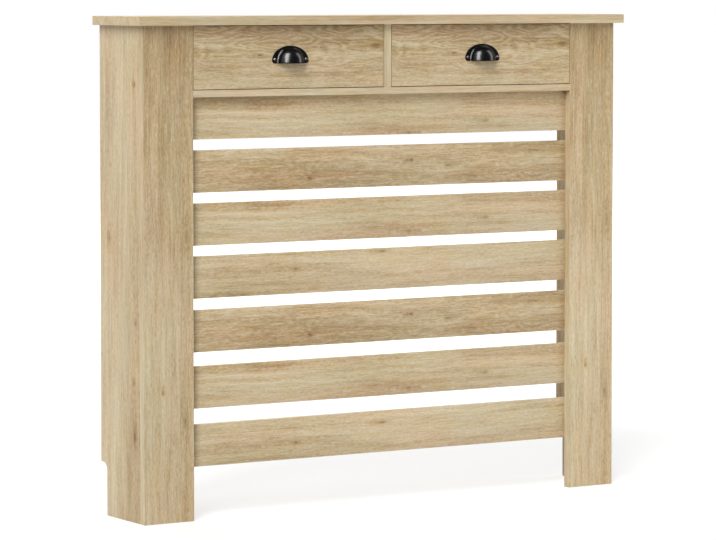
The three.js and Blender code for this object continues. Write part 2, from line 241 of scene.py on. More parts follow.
# %% [markdown]
# ## Oak foil
# The boards are chipboard wrapped in printed paper foil: a pale oak print under a thin
# matt lacquer. Its grain runs along the board, in soft bands that turn from greenish to
# pinkish beige, with brown streaks, fine fibres and a few small knots.
#
# The print could be drawn on Object coordinates, but then every board would need its own
# material, because the grain runs up the posts and across the slats. Here each board
# carries an attribute called print instead: how far each point lies along, across and
# through the board, plus the place in the print that the board was cut from. One
# material then serves them all. Seven more attributes, knot_1 to knot_7, hold the
# distance to the board's knots, in knot sizes. Their third number is a distance too, and
# lifts a knot out of the print: near 0 it has a dark heart, at 2 only its brown halo. So
# a very long, lifted knot is just a stretch of darker print. On the stiles and the drawer
# fronts a few such stretches are painted shade under the top panel's overhang.

# %% Print layers
# The tone of the print is a sum of noises, from soft clouds to pores. Each has its length
# and width in mm, how detailed it is and its weight. Real pores are about 0.2 mm wide, and
# they are drawn wider so that they still show from across the room.
FACE_TONES = [
    ("clouds", 420, 70, 2, 0.55),
    ("bands", 300, 17, 2, 0.55),
    ("streaks", 95, 5.5, 2, 0.40),
    ("fibres", 30, 2.6, 2, 0.44),
    ("pores", 8, 1.9, 1, 0.50),
]
EDGE_TONES = [
    ("bands", 380, 13, 1, 0.50),
    ("streaks", 110, 3.4, 2, 0.46),
    ("fibres", 30, 2.0, 2, 0.46),
]
# The five inks of the print, from the darkest tone to the palest.
FACE_INKS = ["#8b704b", "#ab936d", "#c4b190", "#d2c6a9", "#ddd5bd"]
EDGE_INKS = ["#9a815c", "#b29d79", "#c7b697", "#d6c9ae", "#e0d7bf"]
# Soft patches of another hue: length and width in mm, the noise levels between which they
# fade in, and how much they multiply red, green and blue.
HUES = [
    ("pink", 240, 34, 0.46, 0.66, (1.035, 0.985, 0.965)),
    ("khaki", 360, 44, 0.46, 0.66, (0.97, 1.0, 0.975)),
    ("ochre", 80, 8, 0.50, 0.72, (1.01, 0.975, 0.88)),
    ("grey", 75, 9, 0.52, 0.74, (0.98, 0.99, 1.04)),
]
# How fast the noises for the knots' frayed edges, the grain's slow wave and the rings of
# the figure change along, across and through the board, per metre.
FRAY_RATE = (120, 520, 520)
WAVE_RATE = (2.2, 8, 8)
RING_RATE = (9, 42, 42)
WAVE_REACH = 9 * MM
RINGS = 62
print(len(FACE_TONES), "tones on the faces,", len(EDGE_TONES), "on the edges,", len(HUES), "hues")


# %% Stretched noise
def grain_noise(tree, place, rate, label, **inputs):
    """A noise that changes at this rate along, across and through the board."""
    moved = add(tree, "ShaderNodeVectorMath", {0: place, 1: rate}, operation="MULTIPLY")
    inputs = {"Vector": moved, "Scale": 1, "Detail": 1, **inputs}
    return add(tree, "ShaderNodeTexNoise", inputs, label=label).outputs["Fac"]


def rate_of(length, width):
    """The rate of a noise whose spots have this length and width in mm."""
    return (1 / (length * MM), 1 / (width * MM), 1 / (width * MM))


# %% Knots
KNOT_SLOTS = 7
KNOT_CORE = "#5a432c"
# The heart fades faster than the brown halo round it, and the halo pushes the grain aside.
HEART_FALL, HALO_FALL = 1.2, 0.11
HEART_STRENGTH, HALO_SHADE = 0.9, 0.19
KNOT_PUSH = 2.6 * MM
FRAY_LEAST, FRAY_MOST = 0.3, 1.9


def knotted(tree, place):
    """The place pushed aside by the knots, and their hearts and halos at that place. The halos also
    carry the painted shade of some long, lifted knots.
    """
    fray = grain_noise(tree, place, FRAY_RATE, "fray")
    fray = {"Value": fray, 1: 0, 2: 1, 3: FRAY_LEAST, 4: FRAY_MOST}
    fray = add(tree, "ShaderNodeMapRange", fray)
    heart = halo_and_painted_shade = 0.0
    for number in range(1, KNOT_SLOTS + 1):
        offset = add(tree, "ShaderNodeAttribute", attribute_name=f"knot_{number}").outputs["Vector"]
        squared = add(tree, "ShaderNodeVectorMath", {0: offset, 1: offset}, operation="DOT_PRODUCT")
        squared = squared.outputs["Value"]
        wide = add(tree, "ShaderNodeMath", {0: squared, 1: -HALO_FALL}, operation="MULTIPLY")
        wide = add(tree, "ShaderNodeMath", {0: wide}, operation="EXPONENT")
        aside = {0: offset, 1: (0, -KNOT_PUSH, 0)}
        aside = add(tree, "ShaderNodeVectorMath", aside, operation="MULTIPLY")
        aside = add(tree, "ShaderNodeVectorMath", {0: aside, "Scale": wide}, operation="SCALE")
        place = add(tree, "ShaderNodeVectorMath", {0: place, 1: aside}, operation="ADD")
        tight = add(tree, "ShaderNodeMath", {0: squared, 1: fray}, operation="MULTIPLY")
        tight = add(tree, "ShaderNodeMath", {0: tight, 1: -HEART_FALL}, operation="MULTIPLY")
        tight = add(tree, "ShaderNodeMath", {0: tight}, operation="EXPONENT")
        heart = add(tree, "ShaderNodeMath", {0: heart, 1: tight}, operation="ADD")
        halo_and_painted_shade = add(tree, "ShaderNodeMath", {0: halo_and_painted_shade, 1: wide}, operation="ADD")
    return place, heart, halo_and_painted_shade


print(KNOT_SLOTS, "knots at most on a board")


# %% Grain
def wandering(tree, place):
    """The place moved across the board by a slow wave, as real grain wanders."""
    wave = grain_noise(tree, place, WAVE_RATE, "wave")
    wave = {0: wave, 1: 2 * WAVE_REACH, 2: -WAVE_REACH}
    wave = add(tree, "ShaderNodeMath", wave, operation="MULTIPLY_ADD")
    wave = add(tree, "ShaderNodeCombineXYZ", {"Y": wave})
    return add(tree, "ShaderNodeVectorMath", {0: place, 1: wave}, operation="ADD")


def toned(tree, place, tones):
    """The tone, lifted or lowered by each noise from the middle, and the finest noise."""
    tone = 0.5 - sum(layer[4] for layer in tones) / 2
    for label, length, width, detail, weight in tones:
        rate = rate_of(length, width)
        fine = grain_noise(tree, place, rate, label, Detail=detail, Roughness=0.6)
        tone = {0: fine, 1: weight, 2: tone}
        tone = add(tree, "ShaderNodeMath", tone, operation="MULTIPLY_ADD")
    return tone, fine


def figured(tree, place, tone):
    """The tone with contour lines of a noise, which nest like the flames of plain-sawn oak."""
    figure = add(tree, "ShaderNodeAttribute", attribute_name="figure").outputs["Fac"]
    rings = grain_noise(tree, place, RING_RATE, "rings", Detail=1.5)
    rings = add(tree, "ShaderNodeMath", {0: rings, 1: RINGS}, operation="MULTIPLY")
    rings = add(tree, "ShaderNodeMath", {0: rings}, operation="SINE")
    rings = add(tree, "ShaderNodeMath", {0: rings, 1: figure}, operation="MULTIPLY")
    return add(tree, "ShaderNodeMath", {0: tone, 1: rings}, operation="ADD")


# %% Inks
def inked(tree, place, tone, inks):
    """The colour of a tone, with the soft patches of another hue over it."""
    ramp = add(tree, "ShaderNodeValToRGB", {0: tone})
    last = len(inks) - 1
    for number, ink in enumerate(inks):
        if 0 < number < last:
            ramp.color_ramp.elements.new(number / last)
        ramp.color_ramp.elements[number if number < last else -1].color = linear(ink)
    colour = ramp.outputs["Color"]
    for label, length, width, low, high, tint in HUES:
        amount = grain_noise(tree, place, rate_of(length, width), label)
        amount = {"Value": amount, 1: low, 2: high, 3: 0, 4: 1}
        amount = add(tree, "ShaderNodeMapRange", amount, interpolation_type="SMOOTHSTEP")
        tinted = {0: amount, 6: colour, 7: (*tint, 1)}
        tinted = add(tree, "ShaderNodeMix", tinted, data_type="RGBA", blend_type="MULTIPLY")
        colour = tinted.outputs[2]
    return colour


# %% [markdown]
# The lacquer sinks a little into the finest layer of the print, which is where the pores
# are. There the surface is rougher and slightly lower.

# %% The material
PORE_ROUGHER = 0.08
PORE_DEPTH = 0.05 * MM
PORE_STRENGTH = 0.3
LACQUER_SHINE = 0.3


def oak_material(name, tones, inks, roughness):
    """A printed oak: noises stretched along the grain set the tone, and a ramp inks it."""
    material, tree, shader = new_material(name)
    place = add(tree, "ShaderNodeAttribute", attribute_name="print").outputs["Vector"]
    place, heart, halo_and_painted_shade = knotted(tree, place)
    place = wandering(tree, place)
    tone, fine = toned(tree, place, tones)
    tone = figured(tree, place, tone)
    tone = {0: halo_and_painted_shade, 1: -HALO_SHADE, 2: tone}
    tone = add(tree, "ShaderNodeMath", tone, operation="MULTIPLY_ADD")
    colour = inked(tree, place, tone, inks)
    heart = add(tree, "ShaderNodeMath", {0: heart, 1: HEART_STRENGTH}, operation="MULTIPLY")
    colour = {0: heart, 6: colour, 7: linear(KNOT_CORE)}
    colour = add(tree, "ShaderNodeMix", colour, data_type="RGBA").outputs[2]

    gloss = {"Value": fine, 1: 0.3, 2: 0.7, 3: roughness + PORE_ROUGHER, 4: roughness}
    gloss = add(tree, "ShaderNodeMapRange", gloss)
    bump = {"Height": fine, "Strength": PORE_STRENGTH, "Distance": PORE_DEPTH}
    bump = add(tree, "ShaderNodeBump", bump)
    feed(shader, {"Base Color": colour, "Roughness": gloss, "Normal": bump})
    feed(shader, {"Specular IOR Level": LACQUER_SHINE})
    print(name, "has", len(tree.nodes), "nodes")
    return material


oak_foil = oak_material("oak print paper foil", FACE_TONES, FACE_INKS, 0.50)
oak_edge = oak_material("oak print edge band", EDGE_TONES, EDGE_INKS, 0.52)

# %% [markdown]
# ## Boards
# A board from a saw has its edges eased by a fraction of a millimetre, and that thin
# rounding is what catches the light. Each board is a copy of its CAD mesh: the loose
# triangles are merged, flat regions become single faces, and a Bevel modifier eases the
# long edges. Drawing new boxes would be quicker, but the copy keeps each groove, notch
# and hole where the CAD has it.

# %% Copy a CAD part as a clean mesh
EASED = 0.3 * MM
SHORTEST_EASED = 1.5 * MM
SHARP_ABOVE = math.radians(35)
SMOOTH_BELOW = math.radians(25)


def clean_copy(node):
    """The CAD part's mesh, merged, with each flat region as one face."""
    form = bmesh.new()
    form.from_mesh(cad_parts[node].data)
    bmesh.ops.remove_doubles(form, verts=form.verts, dist=0.001 * MM)
    bmesh.ops.dissolve_limit(form, angle_limit=math.radians(1), verts=form.verts, edges=form.edges)
    return form


def plain_mesh(holder):
    """The mesh that an object's modifiers make. The object itself is removed."""
    bpy.context.view_layer.update()
    evaluated = holder.evaluated_get(bpy.context.evaluated_depsgraph_get())
    mesh = bpy.data.meshes.new_from_object(evaluated)
    bpy.data.objects.remove(holder)
    return mesh


def ease_edges(form, node, eased):
    """The form as a mesh, with its long sharp edges rounded, inside the CAD part's box."""
    weight = form.edges.layers.float.new("bevel_weight_edge")
    for edge in form.edges:
        sharp = len(edge.link_faces) == 2 and edge.calc_face_angle(0) > SHARP_ABOVE
        edge[weight] = float(sharp and edge.calc_length() > SHORTEST_EASED)
    mesh = bpy.data.meshes.new(node)
    form.to_mesh(mesh)
    form.free()
    holder = new_object("easing", mesh)
    bevel = holder.modifiers.new("eased edges", "BEVEL")
    bevel.width = eased
    bevel.segments = 2
    bevel.limit_method = "WEIGHT"
    bevel.use_clamp_overlap = False
    finished = plain_mesh(holder)
    low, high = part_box(node)
    for vertex in finished.vertices:
        vertex.co = [min(max(vertex.co[i], low[i]), high[i]) for i in range(3)]
    finished.name = node
    finished.shade_smooth()
    finished.set_sharp_from_angle(angle=SMOOTH_BELOW)
    return finished


print("edges eased by", EASED / MM, "mm")


# %% Lay the print on a board
AXES = {"x": 0, "y": 1, "z": 2}
NO_KNOT = (0, 0, 1, 1, 1000)
# A face is broad when its normal keeps this much of its length through the board.
BROAD_ABOVE = 0.95


def lay_print(mesh, points, low, high, along, across, start, knots, figure):
    """Writes the print attributes of these points of a board between two corners.

    start and knots are in mm. figure is the figure's strength at the board's first and
    second long edge.
    """
    through = ({"x", "y", "z"} - {along, across}).pop()
    u, v, w = AXES[along], AXES[across], AXES[through]
    names = ["print"] + [f"knot_{number}" for number in range(1, KNOT_SLOTS + 1)]
    for name in names:
        if name not in mesh.attributes:
            mesh.attributes.new(name, "FLOAT_VECTOR", "POINT")
    if "figure" not in mesh.attributes:
        mesh.attributes.new("figure", "FLOAT", "POINT")
    for point in points:
        place = mesh.vertices[point].co - low
        laid = (place[u] + start[0] * MM, place[v] + start[1] * MM, place[w])
        mesh.attributes["print"].data[point].vector = laid
        share = place[v] / (high[v] - low[v])
        mesh.attributes["figure"].data[point].value = figure[0] + share * (figure[1] - figure[0])
        for number in range(KNOT_SLOTS):
            knot = knots[number] if number < len(knots) else NO_KNOT
            offset = (
                (place[u] / MM - knot[0]) / knot[2],
                (place[v] / MM - knot[1]) / knot[3],
                knot[4],
            )
            mesh.attributes[f"knot_{number + 1}"].data[point].vector = offset


def faces_and_edges(mesh, thin):
    """Broad faces take the foil, the rest the edge band."""
    mesh.materials.clear()
    mesh.materials.append(oak_foil)
    mesh.materials.append(oak_edge)
    for face in mesh.polygons:
        face.material_index = 0 if abs(face.normal[AXES[thin]]) > BROAD_ABOVE else 1


def stand_in(mesh, name, body, nodes):
    """An object for a finished mesh, in the place of these CAD nodes."""
    item = new_object(name, mesh)
    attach(item, body)
    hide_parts(*nodes)
    return item


def board(name, body, along, across, start, knots=(), figure=(0.02, 0.02)):
    """A foiled board that stands in for its CAD part."""
    mesh = ease_edges(clean_copy(name), name, EASED)
    thin = ({"x", "y", "z"} - {along, across}).pop()
    faces_and_edges(mesh, thin)
    low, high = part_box(name)
    lay_print(mesh, range(len(mesh.vertices)), low, high, along, across, start, knots, figure)
    stand_in(mesh, name + "_foiled", body, [name])
    print(name, "mm", [round(value / MM, 1) for value in high - low], len(mesh.polygons), "faces")


# %% [markdown]
# The carcass boards follow. Each line says which way the grain runs and where in the
# print the board was cut. Both stiles are cut from the same place, as in the picture.
# Knots are given in mm from the board's lower left corner: place along, place across,
# half length and half width, and last how far the knot is lifted out of the print.

# %% Carcass boards
TOP_KNOTS = [(560, 0, 300, 3, 1.8), (0, 80, 40, 200, 2.6)]
SIDE_KNOTS = [
    (762, 18, 3.2, 2.3, 0),
    (349, 15, 2.0, 1.6, 0.3),
    (244, 23, 3.8, 1.7, 0.1),
    (149, 20, 9, 3.6, 0.3),
    (492, 113, 10, 4.0, 0.9),
    (440, 22, 200, 7, 2.2),
]
STILE_KNOTS_AND_SHADE = [
    (506, 84, 9, 2.2, 0.9),
    (176, 81, 5, 2, 0.8),
    (229, 37, 7, 1.6, 1.0),
    # The next two darken the top of the stile: partly a browner print, partly painted shade under the
    # top panel's overhang.
    (845, 50, 22, 40, 1.2),
    (720, 58, 85, 24, 1.7),
    (370, 9, 230, 7, 2.6),
    (430, 93, 300, 8, 2.7),
]

board("top_panel", "carcass", "x", "y", (0, 900), TOP_KNOTS)
board("left_side_panel", "carcass", "z", "y", (3000, 340), SIDE_KNOTS)
board("right_side_panel", "carcass", "z", "y", (3000, 620))
board("left_front_stile", "carcass", "z", "x", (5000, 100), STILE_KNOTS_AND_SHADE)
board("right_front_stile", "carcass", "z", "x", (5000, 100), STILE_KNOTS_AND_SHADE)
board("drawer_shelf", "carcass", "x", "y", (1200, 1200))
board("centre_divider", "carcass", "z", "y", (1500, 1500))
board("left_partition", "carcass", "z", "y", (1700, 1500))
board("right_partition", "carcass", "z", "y", (1900, 1500))
board("compartment_back", "carcass", "x", "z", (2100, 1700))

# %% [markdown]
# ## Slats
# Seven equal boards at seven heights: a shape that repeats, so Geometry Nodes make it. A
# tiny mesh holds one point at the middle of each slat, the tree puts a board on every
# point, and its size comes in by named inputs. Foil goes on the broad faces and edge
# band on the rest, by the direction each face looks.

# %% Slat tree
def geometry_tree(name, inputs):
    """A Geometry Nodes tree that takes a geometry and these inputs and gives a geometry."""
    tree = bpy.data.node_groups.new(name, "GeometryNodeTree")
    for label, kind in {"Geometry": "Geometry", **inputs}.items():
        tree.interface.new_socket(label, in_out="INPUT", socket_type="NodeSocket" + kind)
    tree.interface.new_socket("Geometry", in_out="OUTPUT", socket_type="NodeSocketGeometry")
    return tree, add(tree, "NodeGroupInput").outputs


slat_tree, given = geometry_tree(
    "slats", {"Slat Size": "Vector", "Foil": "Material", "Edge Band": "Material"}
)
slat = add(slat_tree, "GeometryNodeMeshCube", {"Size": given["Slat Size"]})
placed = {"Points": given["Geometry"], "Instance": slat}
placed = add(slat_tree, "GeometryNodeInstanceOnPoints", placed)
whole = add(slat_tree, "GeometryNodeRealizeInstances", {0: placed})
banded = {"Geometry": whole, "Material": given["Edge Band"]}
banded = add(slat_tree, "GeometryNodeSetMaterial", banded)
normal = add(slat_tree, "GeometryNodeInputNormal")
depth = add(slat_tree, "ShaderNodeSeparateXYZ", {0: normal}).outputs["Y"]
depth = add(slat_tree, "ShaderNodeMath", {0: depth}, operation="ABSOLUTE")
broad = {0: depth, 1: BROAD_ABOVE}
broad = add(slat_tree, "ShaderNodeMath", broad, operation="GREATER_THAN")
foiled = {"Geometry": banded, "Selection": broad, "Material": given["Foil"]}
foiled = add(slat_tree, "GeometryNodeSetMaterial", foiled)
add(slat_tree, "NodeGroupOutput", {0: foiled})
print("slat tree:", len(slat_tree.nodes), "nodes")


# %% Run a tree and keep a plain mesh
def grown(name, tree, points, inputs, eased=0.0, smooth_below=SMOOTH_BELOW):
    """The mesh that a tree makes on these points, as a plain mesh."""
    seeds = bpy.data.meshes.new(name)
    seeds.from_pydata(points, [], [])
    holder = new_object(name + "_holder", seeds)
    modifier = holder.modifiers.new("grow", "NODES")
    modifier.node_group = tree
    for item in tree.interface.items_tree:
        if item.in_out == "INPUT" and item.name in inputs:
            modifier[item.identifier] = inputs[item.name]
    if eased:
        bevel = holder.modifiers.new("eased edges", "BEVEL")
        bevel.width = eased
        bevel.segments = 2
    mesh = plain_mesh(holder)
    mesh.name = name
    mesh.shade_smooth()
    mesh.set_sharp_from_angle(angle=smooth_below)
    if mesh.materials[0] is None:
        mesh.materials.pop(index=0)
    return mesh


slat_names = [f"slat_{number}" for number in range(1, 8)]
slat_boxes = [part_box(name) for name in slat_names]
slat_middles = [(low + high) / 2 for low, high in slat_boxes]
slat_size = slat_boxes[0][1] - slat_boxes[0][0]
slat_inputs = {"Slat Size": slat_size, "Foil": oak_foil, "Edge Band": oak_edge}
slat_mesh = grown("slats", slat_tree, slat_middles, slat_inputs, EASED)
print("slats:", len(slat_mesh.polygons), "faces,", [m.name for m in slat_mesh.materials])

# %% [markdown]
# The print repeats on the roll, so some slats match: the picture shows the same knots on
# the second and the fifth slat, on the third and the sixth, and on the fourth and the
# seventh. Three strips of print are enough.

# %% Print on the slats
# Each strip: its place across the print, its figure and its knots.
A_KNOTS = [(288, 44, 2.8, 1.1, 0), (468, 69, 8, 1.5, 0.5), (160, 3, 30, 3, 1.3)]
B_KNOTS = [(316, 19.5, 3.0, 1.3, 0.1), (529, 46.5, 5, 2.0, 0.3), (609, 35.5, 3.6, 1.3, 0.3)]
B_KNOTS += [(780, 12, 36, 5, 1.4), (400, 30, 130, 16, 1.3), (430, 37, 600, 60, 3.0)]
C_KNOTS = [(690, 30, 10, 1.4, 1.1), (525, 11, 14, 1.6, 1.0), (240, 68, 60, 4, 1.4)]
C_KNOTS += [(430, 37, 600, 60, 3.8)]
STRIPS = {"A": (0, 0.02, A_KNOTS), "B": (260, 0.05, B_KNOTS), "C": (520, 0.02, C_KNOTS)}
# The strip of each slat, from the first, and how far in mm the print is slid up on it.
SLAT_STRIPS = [("C", -8), ("B", 0), ("C", 0), ("A", 0), ("B", 0), ("C", 0), ("A", -15)]

for (low, high), (strip, slide) in zip(slat_boxes, SLAT_STRIPS):
    across, figure, knots = STRIPS[strip]
    moved = [(along, up + slide, *rest) for along, up, *rest in knots]
    points = [v.index for v in slat_mesh.vertices if low.z - MM < v.co.z < high.z + MM]
    start = (8000, across - slide)
    lay_print(slat_mesh, points, low, high, "x", "z", start, moved, (figure, figure))
    print("strip", strip, "on", len(points), "points")

stand_in(slat_mesh, "slats_foiled", "carcass", slat_names)

# %% [markdown]
# ## Drawers
# The drawer fronts are cut from the liveliest part of the print, with arched figure over
# their upper half. Their boxes are the same foiled board with a hardboard bottom.

# %% Drawer boards
FRONT_KNOTS_AND_SHADE = [
    (133, 58, 3, 1.2, 0.4),
    (258, 71, 3, 1.3, 0.6),
    (372, 74, 8, 1.4, 0.7),
    # Painted shade along the fronts' top edge, deepening the real shadow under the top panel's
    # overhang.
    (200, 99, 200, 17, 1.0),
    (190, 60, 180, 30, 3.5),
]

for side in ("left", "right"):
    body = side + "_drawer"
    board(side + "_drawer_front", body, "x", "z", (6000, 0), FRONT_KNOTS_AND_SHADE, (0.02, 0.13))
    board(side + "_drawer_left_side", body, "y", "z", (6500, 300))
    board(side + "_drawer_right_side", body, "y", "z", (6500, 600))
    board(side + "_drawer_back", body, "x", "z", (6500, 900))

# %% [markdown]
# Hardboard is wood fibre pressed flat under heat: a brown sheet with a faint speckle. Some
# parts need one material and softer edges only, so one function serves the drawer bottoms
# here and the brackets further down.

# %% Drawer bottoms
# Bundles of fibre are 1.4 mm apart and the blotches 40 mm. These are rates per metre.
FIBRE_RATE, BLOTCH_RATE = 700, 25

hardboard, tree, shader = new_material("pressed hardboard")
place = add(tree, "ShaderNodeTexCoord").outputs["Object"]
fibres = {"Vector": place, "Scale": FIBRE_RATE, "Detail": 3}
fibres = add(tree, "ShaderNodeTexNoise", fibres)
blotches = {"Vector": place, "Scale": BLOTCH_RATE, "Detail": 2}
blotches = add(tree, "ShaderNodeTexNoise", blotches)
colour = {0: fibres, 6: linear("#7d5a38"), 7: linear("#a07a50")}
colour = add(tree, "ShaderNodeMix", colour, data_type="RGBA").outputs[2]
colour = {0: blotches, 6: colour, 7: linear("#8a6741")}
colour = add(tree, "ShaderNodeMix", colour, data_type="RGBA").outputs[2]
pressed = {"Height": fibres, "Strength": 0.4, "Distance": 0.1 * MM}
pressed = add(tree, "ShaderNodeBump", pressed)
feed(shader, {"Base Color": colour, "Roughness": 0.62, "Normal": pressed})


def plain_part(name, body, material, eased):
    """A copy of a CAD part, with eased edges, in one material."""
    mesh = ease_edges(clean_copy(name), name, eased)
    mesh.materials.clear()
    mesh.materials.append(material)
    stand_in(mesh, name + "_finished", body, [name])
    print(name, "in", material.name)


for side in ("left", "right"):
    name = side + "_drawer_bottom"
    plain_part(name, side + "_drawer", hardboard, 0.2 * MM)

# %% [markdown]
# ## Cup pulls
# The pull is a zinc die-casting with a black lacquer: an arched flange with rounded
# ears, a raised collar, and a hollow bowl like a quarter of an egg. It could be sculpted
# from a subdivided cube, but its shape follows a rule, so its rings of points are worked
# out here: half ellipses in plan and a squarer curve in profile. The flange and its collar
# are one skin, drawn over rings that follow the arch. A single Boolean joins it to the
# bowl, whose edges end inside it, because faces that lie on each other spoil a Boolean.

# %% Sizes of the pull in mm
FLANGE_HALF, FLANGE_HEIGHT, FLANGE_THICK = 37.0, 31.0, 1.75
EAR_RADIUS = 5.0
BOWL_HALF, BOWL_HEIGHT, BOWL_OUT, BOWL_WALL = 26.0, 26.5, 22.0, 1.75
BOWL_SQUARE = 2.4
COLLAR_WIDE, COLLAR_THICK = 1.5, 3.05
# A hollow curve of this width and height leads from the collar up to the bowl.
COVE_WIDE, COVE_HIGH = 0.85, 0.9
# The cove starts this far outside the bowl.
COVE_START = 0.4
# The bowl's edges end this far inside the flange, and the flange reaches this far past
# the bowl's inner face. Its feet stop this far above the lip.
SEAT, PAST, FOOT_LIFT = 0.25, 0.1, 0.15
# The rims have soft bevels rather than round edges: 2 would be a straight bevel, 1 round.
# For each rim, how far its bevel reaches in, and how far down for each mm of that.
RIM_SOFTNESS = 1.85
FLANGE_BEVEL = (0.45, 2.0)
COLLAR_BEVEL = (1.05, 0.75)
ARCH_STEPS = 72
FOOT_STEPS = 9
print("pull", 2 * FLANGE_HALF, "x", FLANGE_HEIGHT, "x", BOWL_OUT, "mm")


# %% Outlines
def arch(half, height, corner):
    """Half an ellipse over two rounded corners, from the right foot to the left, in mm."""
    path = []
    for step in range(FOOT_STEPS):
        turn = math.radians(-90 + 90 * step / FOOT_STEPS)
        path.append((half - corner + corner * math.cos(turn), corner + corner * math.sin(turn)))
    over_steps = ARCH_STEPS - 2 * FOOT_STEPS
    for step in range(over_steps + 1):
        turn = math.pi * step / over_steps
        path.append((half * math.cos(turn), corner + (height - corner) * math.sin(turn)))
    for step in range(1, FOOT_STEPS + 1):
        turn = math.radians(180 + 90 * step / FOOT_STEPS)
        path.append((corner - half + corner * math.cos(turn), corner + corner * math.sin(turn)))
    return path


def profile_point(turn):
    """A point of the bowl's profile: its reach outwards and upwards, from 0 to 1."""
    power = 2 / BOWL_SQUARE
    return abs(math.cos(turn)) ** power, abs(math.sin(turn)) ** power


def mouth(half, height):
    """The bowl's profile where it meets the flange, from the right foot to the left."""
    path = []
    for step in range(ARCH_STEPS + 1):
        turn = math.pi * step / ARCH_STEPS
        out, up = profile_point(turn)
        path.append((math.copysign(half * out, math.cos(turn)), height * up))
    return path


print("an arch has", len(arch(FLANGE_HALF, FLANGE_HEIGHT, EAR_RADIUS)), "points")


# %% Flange and collar
def loft(sections):
    """A closed skin over equal rings of points."""
    form = bmesh.new()
    rings = [[form.verts.new([value * MM for value in point]) for point in ring] for ring in sections]
    count = len(rings[0])
    for first, second in zip(rings, rings[1:]):
        for index in range(count):
            after = (index + 1) % count
            form.faces.new((first[index], first[after], second[after], second[index]))
    form.faces.new(rings[0])
    form.faces.new(reversed(rings[-1]))
    bmesh.ops.recalc_face_normals(form, faces=form.faces)
    return form


def outward(path, index):
    """The direction that faces away from the arch at this point of its path."""
    before = path[max(index - 1, 0)]
    after = path[min(index + 1, len(path) - 1)]
    return Vector((after[1] - before[1], 0, before[0] - after[0])).normalized()


def moved_out(path, reach):
    """The path moved outwards by this much, with its feet lifted off the lip."""
    moved = []
    for index, (x, z) in enumerate(path):
        way = outward(path, index)
        moved.append((x + way.x * reach, max(z + way.z * reach, FOOT_LIFT)))
    return moved


def soft_edge(path, index, thick, rounding, slope):
    """Points up the edge of a plate and round its bevel, to its face at y = -thick.

    slope is how far the bevel reaches down the edge, for each mm that it reaches in.
    """
    x, z = path[index]
    way = outward(path, index)
    points = []
    for step in range(9):
        turn = math.radians(11.25 * step)
        inset = rounding * (1 - math.cos(turn) ** RIM_SOFTNESS)
        height = thick - rounding * slope * (1 - math.sin(turn) ** RIM_SOFTNESS)
        points.append((x - way.x * inset, -height, z - way.z * inset))
    return points


flange_path = arch(FLANGE_HALF, FLANGE_HEIGHT, EAR_RADIUS)
bowl_path = mouth(BOWL_HALF, BOWL_HEIGHT)
collar_path = moved_out(bowl_path, COLLAR_WIDE)
inner_path = moved_out(bowl_path, -BOWL_WALL - PAST)
cove_paths = []
for step in range(7):
    turn = math.radians(15 * step)
    reach = COVE_START - COVE_WIDE * math.sin(turn)
    height = COLLAR_THICK + COVE_HIGH * (1 - math.cos(turn))
    cove_paths.append((moved_out(bowl_path, reach), height))

sections = []
for index, (x, z) in enumerate(flange_path):
    ring = [(x, 0, z)] + soft_edge(flange_path, index, FLANGE_THICK, *FLANGE_BEVEL)
    x, z = collar_path[index]
    ring += [(x, -FLANGE_THICK, z)] + soft_edge(collar_path, index, COLLAR_THICK, *COLLAR_BEVEL)
    for path, height in cove_paths:
        ring.append((path[index][0], -height, path[index][1]))
    x, z = inner_path[index]
    ring += [(x, -COLLAR_THICK - COVE_HIGH, z), (x, 0, z)]
    sections.append(ring)
rim = loft(sections)
print("flange and collar", len(rim.faces), "faces")

# %% Bowl
LIP_ROUND = 0.5
BOWL_STEPS = 30
BOWL_TURNS = 72
PULL_SMOOTH_BELOW = math.radians(24)

profile = []
for step in range(1, BOWL_STEPS + 1):
    out, up = profile_point(math.radians(90 - 90 * step / BOWL_STEPS))
    profile.append((BOWL_HALF * out, BOWL_OUT * out, max(BOWL_HEIGHT * up, LIP_ROUND)))
for step in range(1, 5):
    inset = LIP_ROUND * (1 - math.cos(math.radians(22.5 * step)))
    drop = LIP_ROUND * (1 - math.sin(math.radians(22.5 * step)))
    profile.append((BOWL_HALF - inset, BOWL_OUT - inset, drop))
for step in range(5):
    inset = BOWL_WALL - LIP_ROUND * (1 - math.sin(math.radians(22.5 * step)))
    drop = LIP_ROUND * (1 - math.cos(math.radians(22.5 * step)))
    profile.append((BOWL_HALF - inset, BOWL_OUT - inset, drop))
for step in range(1, BOWL_STEPS):
    out, up = profile_point(math.radians(90 * step / BOWL_STEPS))
    inner_out = (BOWL_HALF - BOWL_WALL) * out
    inner_up = (BOWL_HEIGHT - BOWL_WALL) * up
    if inner_up > LIP_ROUND:
        profile.append((inner_out, (BOWL_OUT - BOWL_WALL) * out, inner_up))

bowl = bmesh.new()
crown = bowl.verts.new((0, -SEAT * MM, BOWL_HEIGHT * MM))
ceiling = bowl.verts.new((0, -SEAT * MM, (BOWL_HEIGHT - BOWL_WALL) * MM))
flatter = 1 - SEAT / BOWL_OUT
ribs = []
for step in range(BOWL_TURNS + 1):
    turn = math.pi * step / BOWL_TURNS
    rib = [(x * math.cos(turn), -SEAT - y * flatter * math.sin(turn), z) for x, y, z in profile]
    ribs.append([bowl.verts.new([value * MM for value in point]) for point in rib])
for first, second in zip(ribs, ribs[1:]):
    bowl.faces.new((crown, first[0], second[0]))
    bowl.faces.new((ceiling, second[-1], first[-1]))
    for index in range(len(profile) - 1):
        corners = (first[index], first[index + 1], second[index + 1], second[index])
        bowl.faces.new(corners)
for rib in (ribs[0], ribs[-1]):
    bowl.faces.new((crown, *rib, ceiling))
bmesh.ops.recalc_face_normals(bowl, faces=bowl.faces)
print("bowl", len(bowl.faces), "faces")


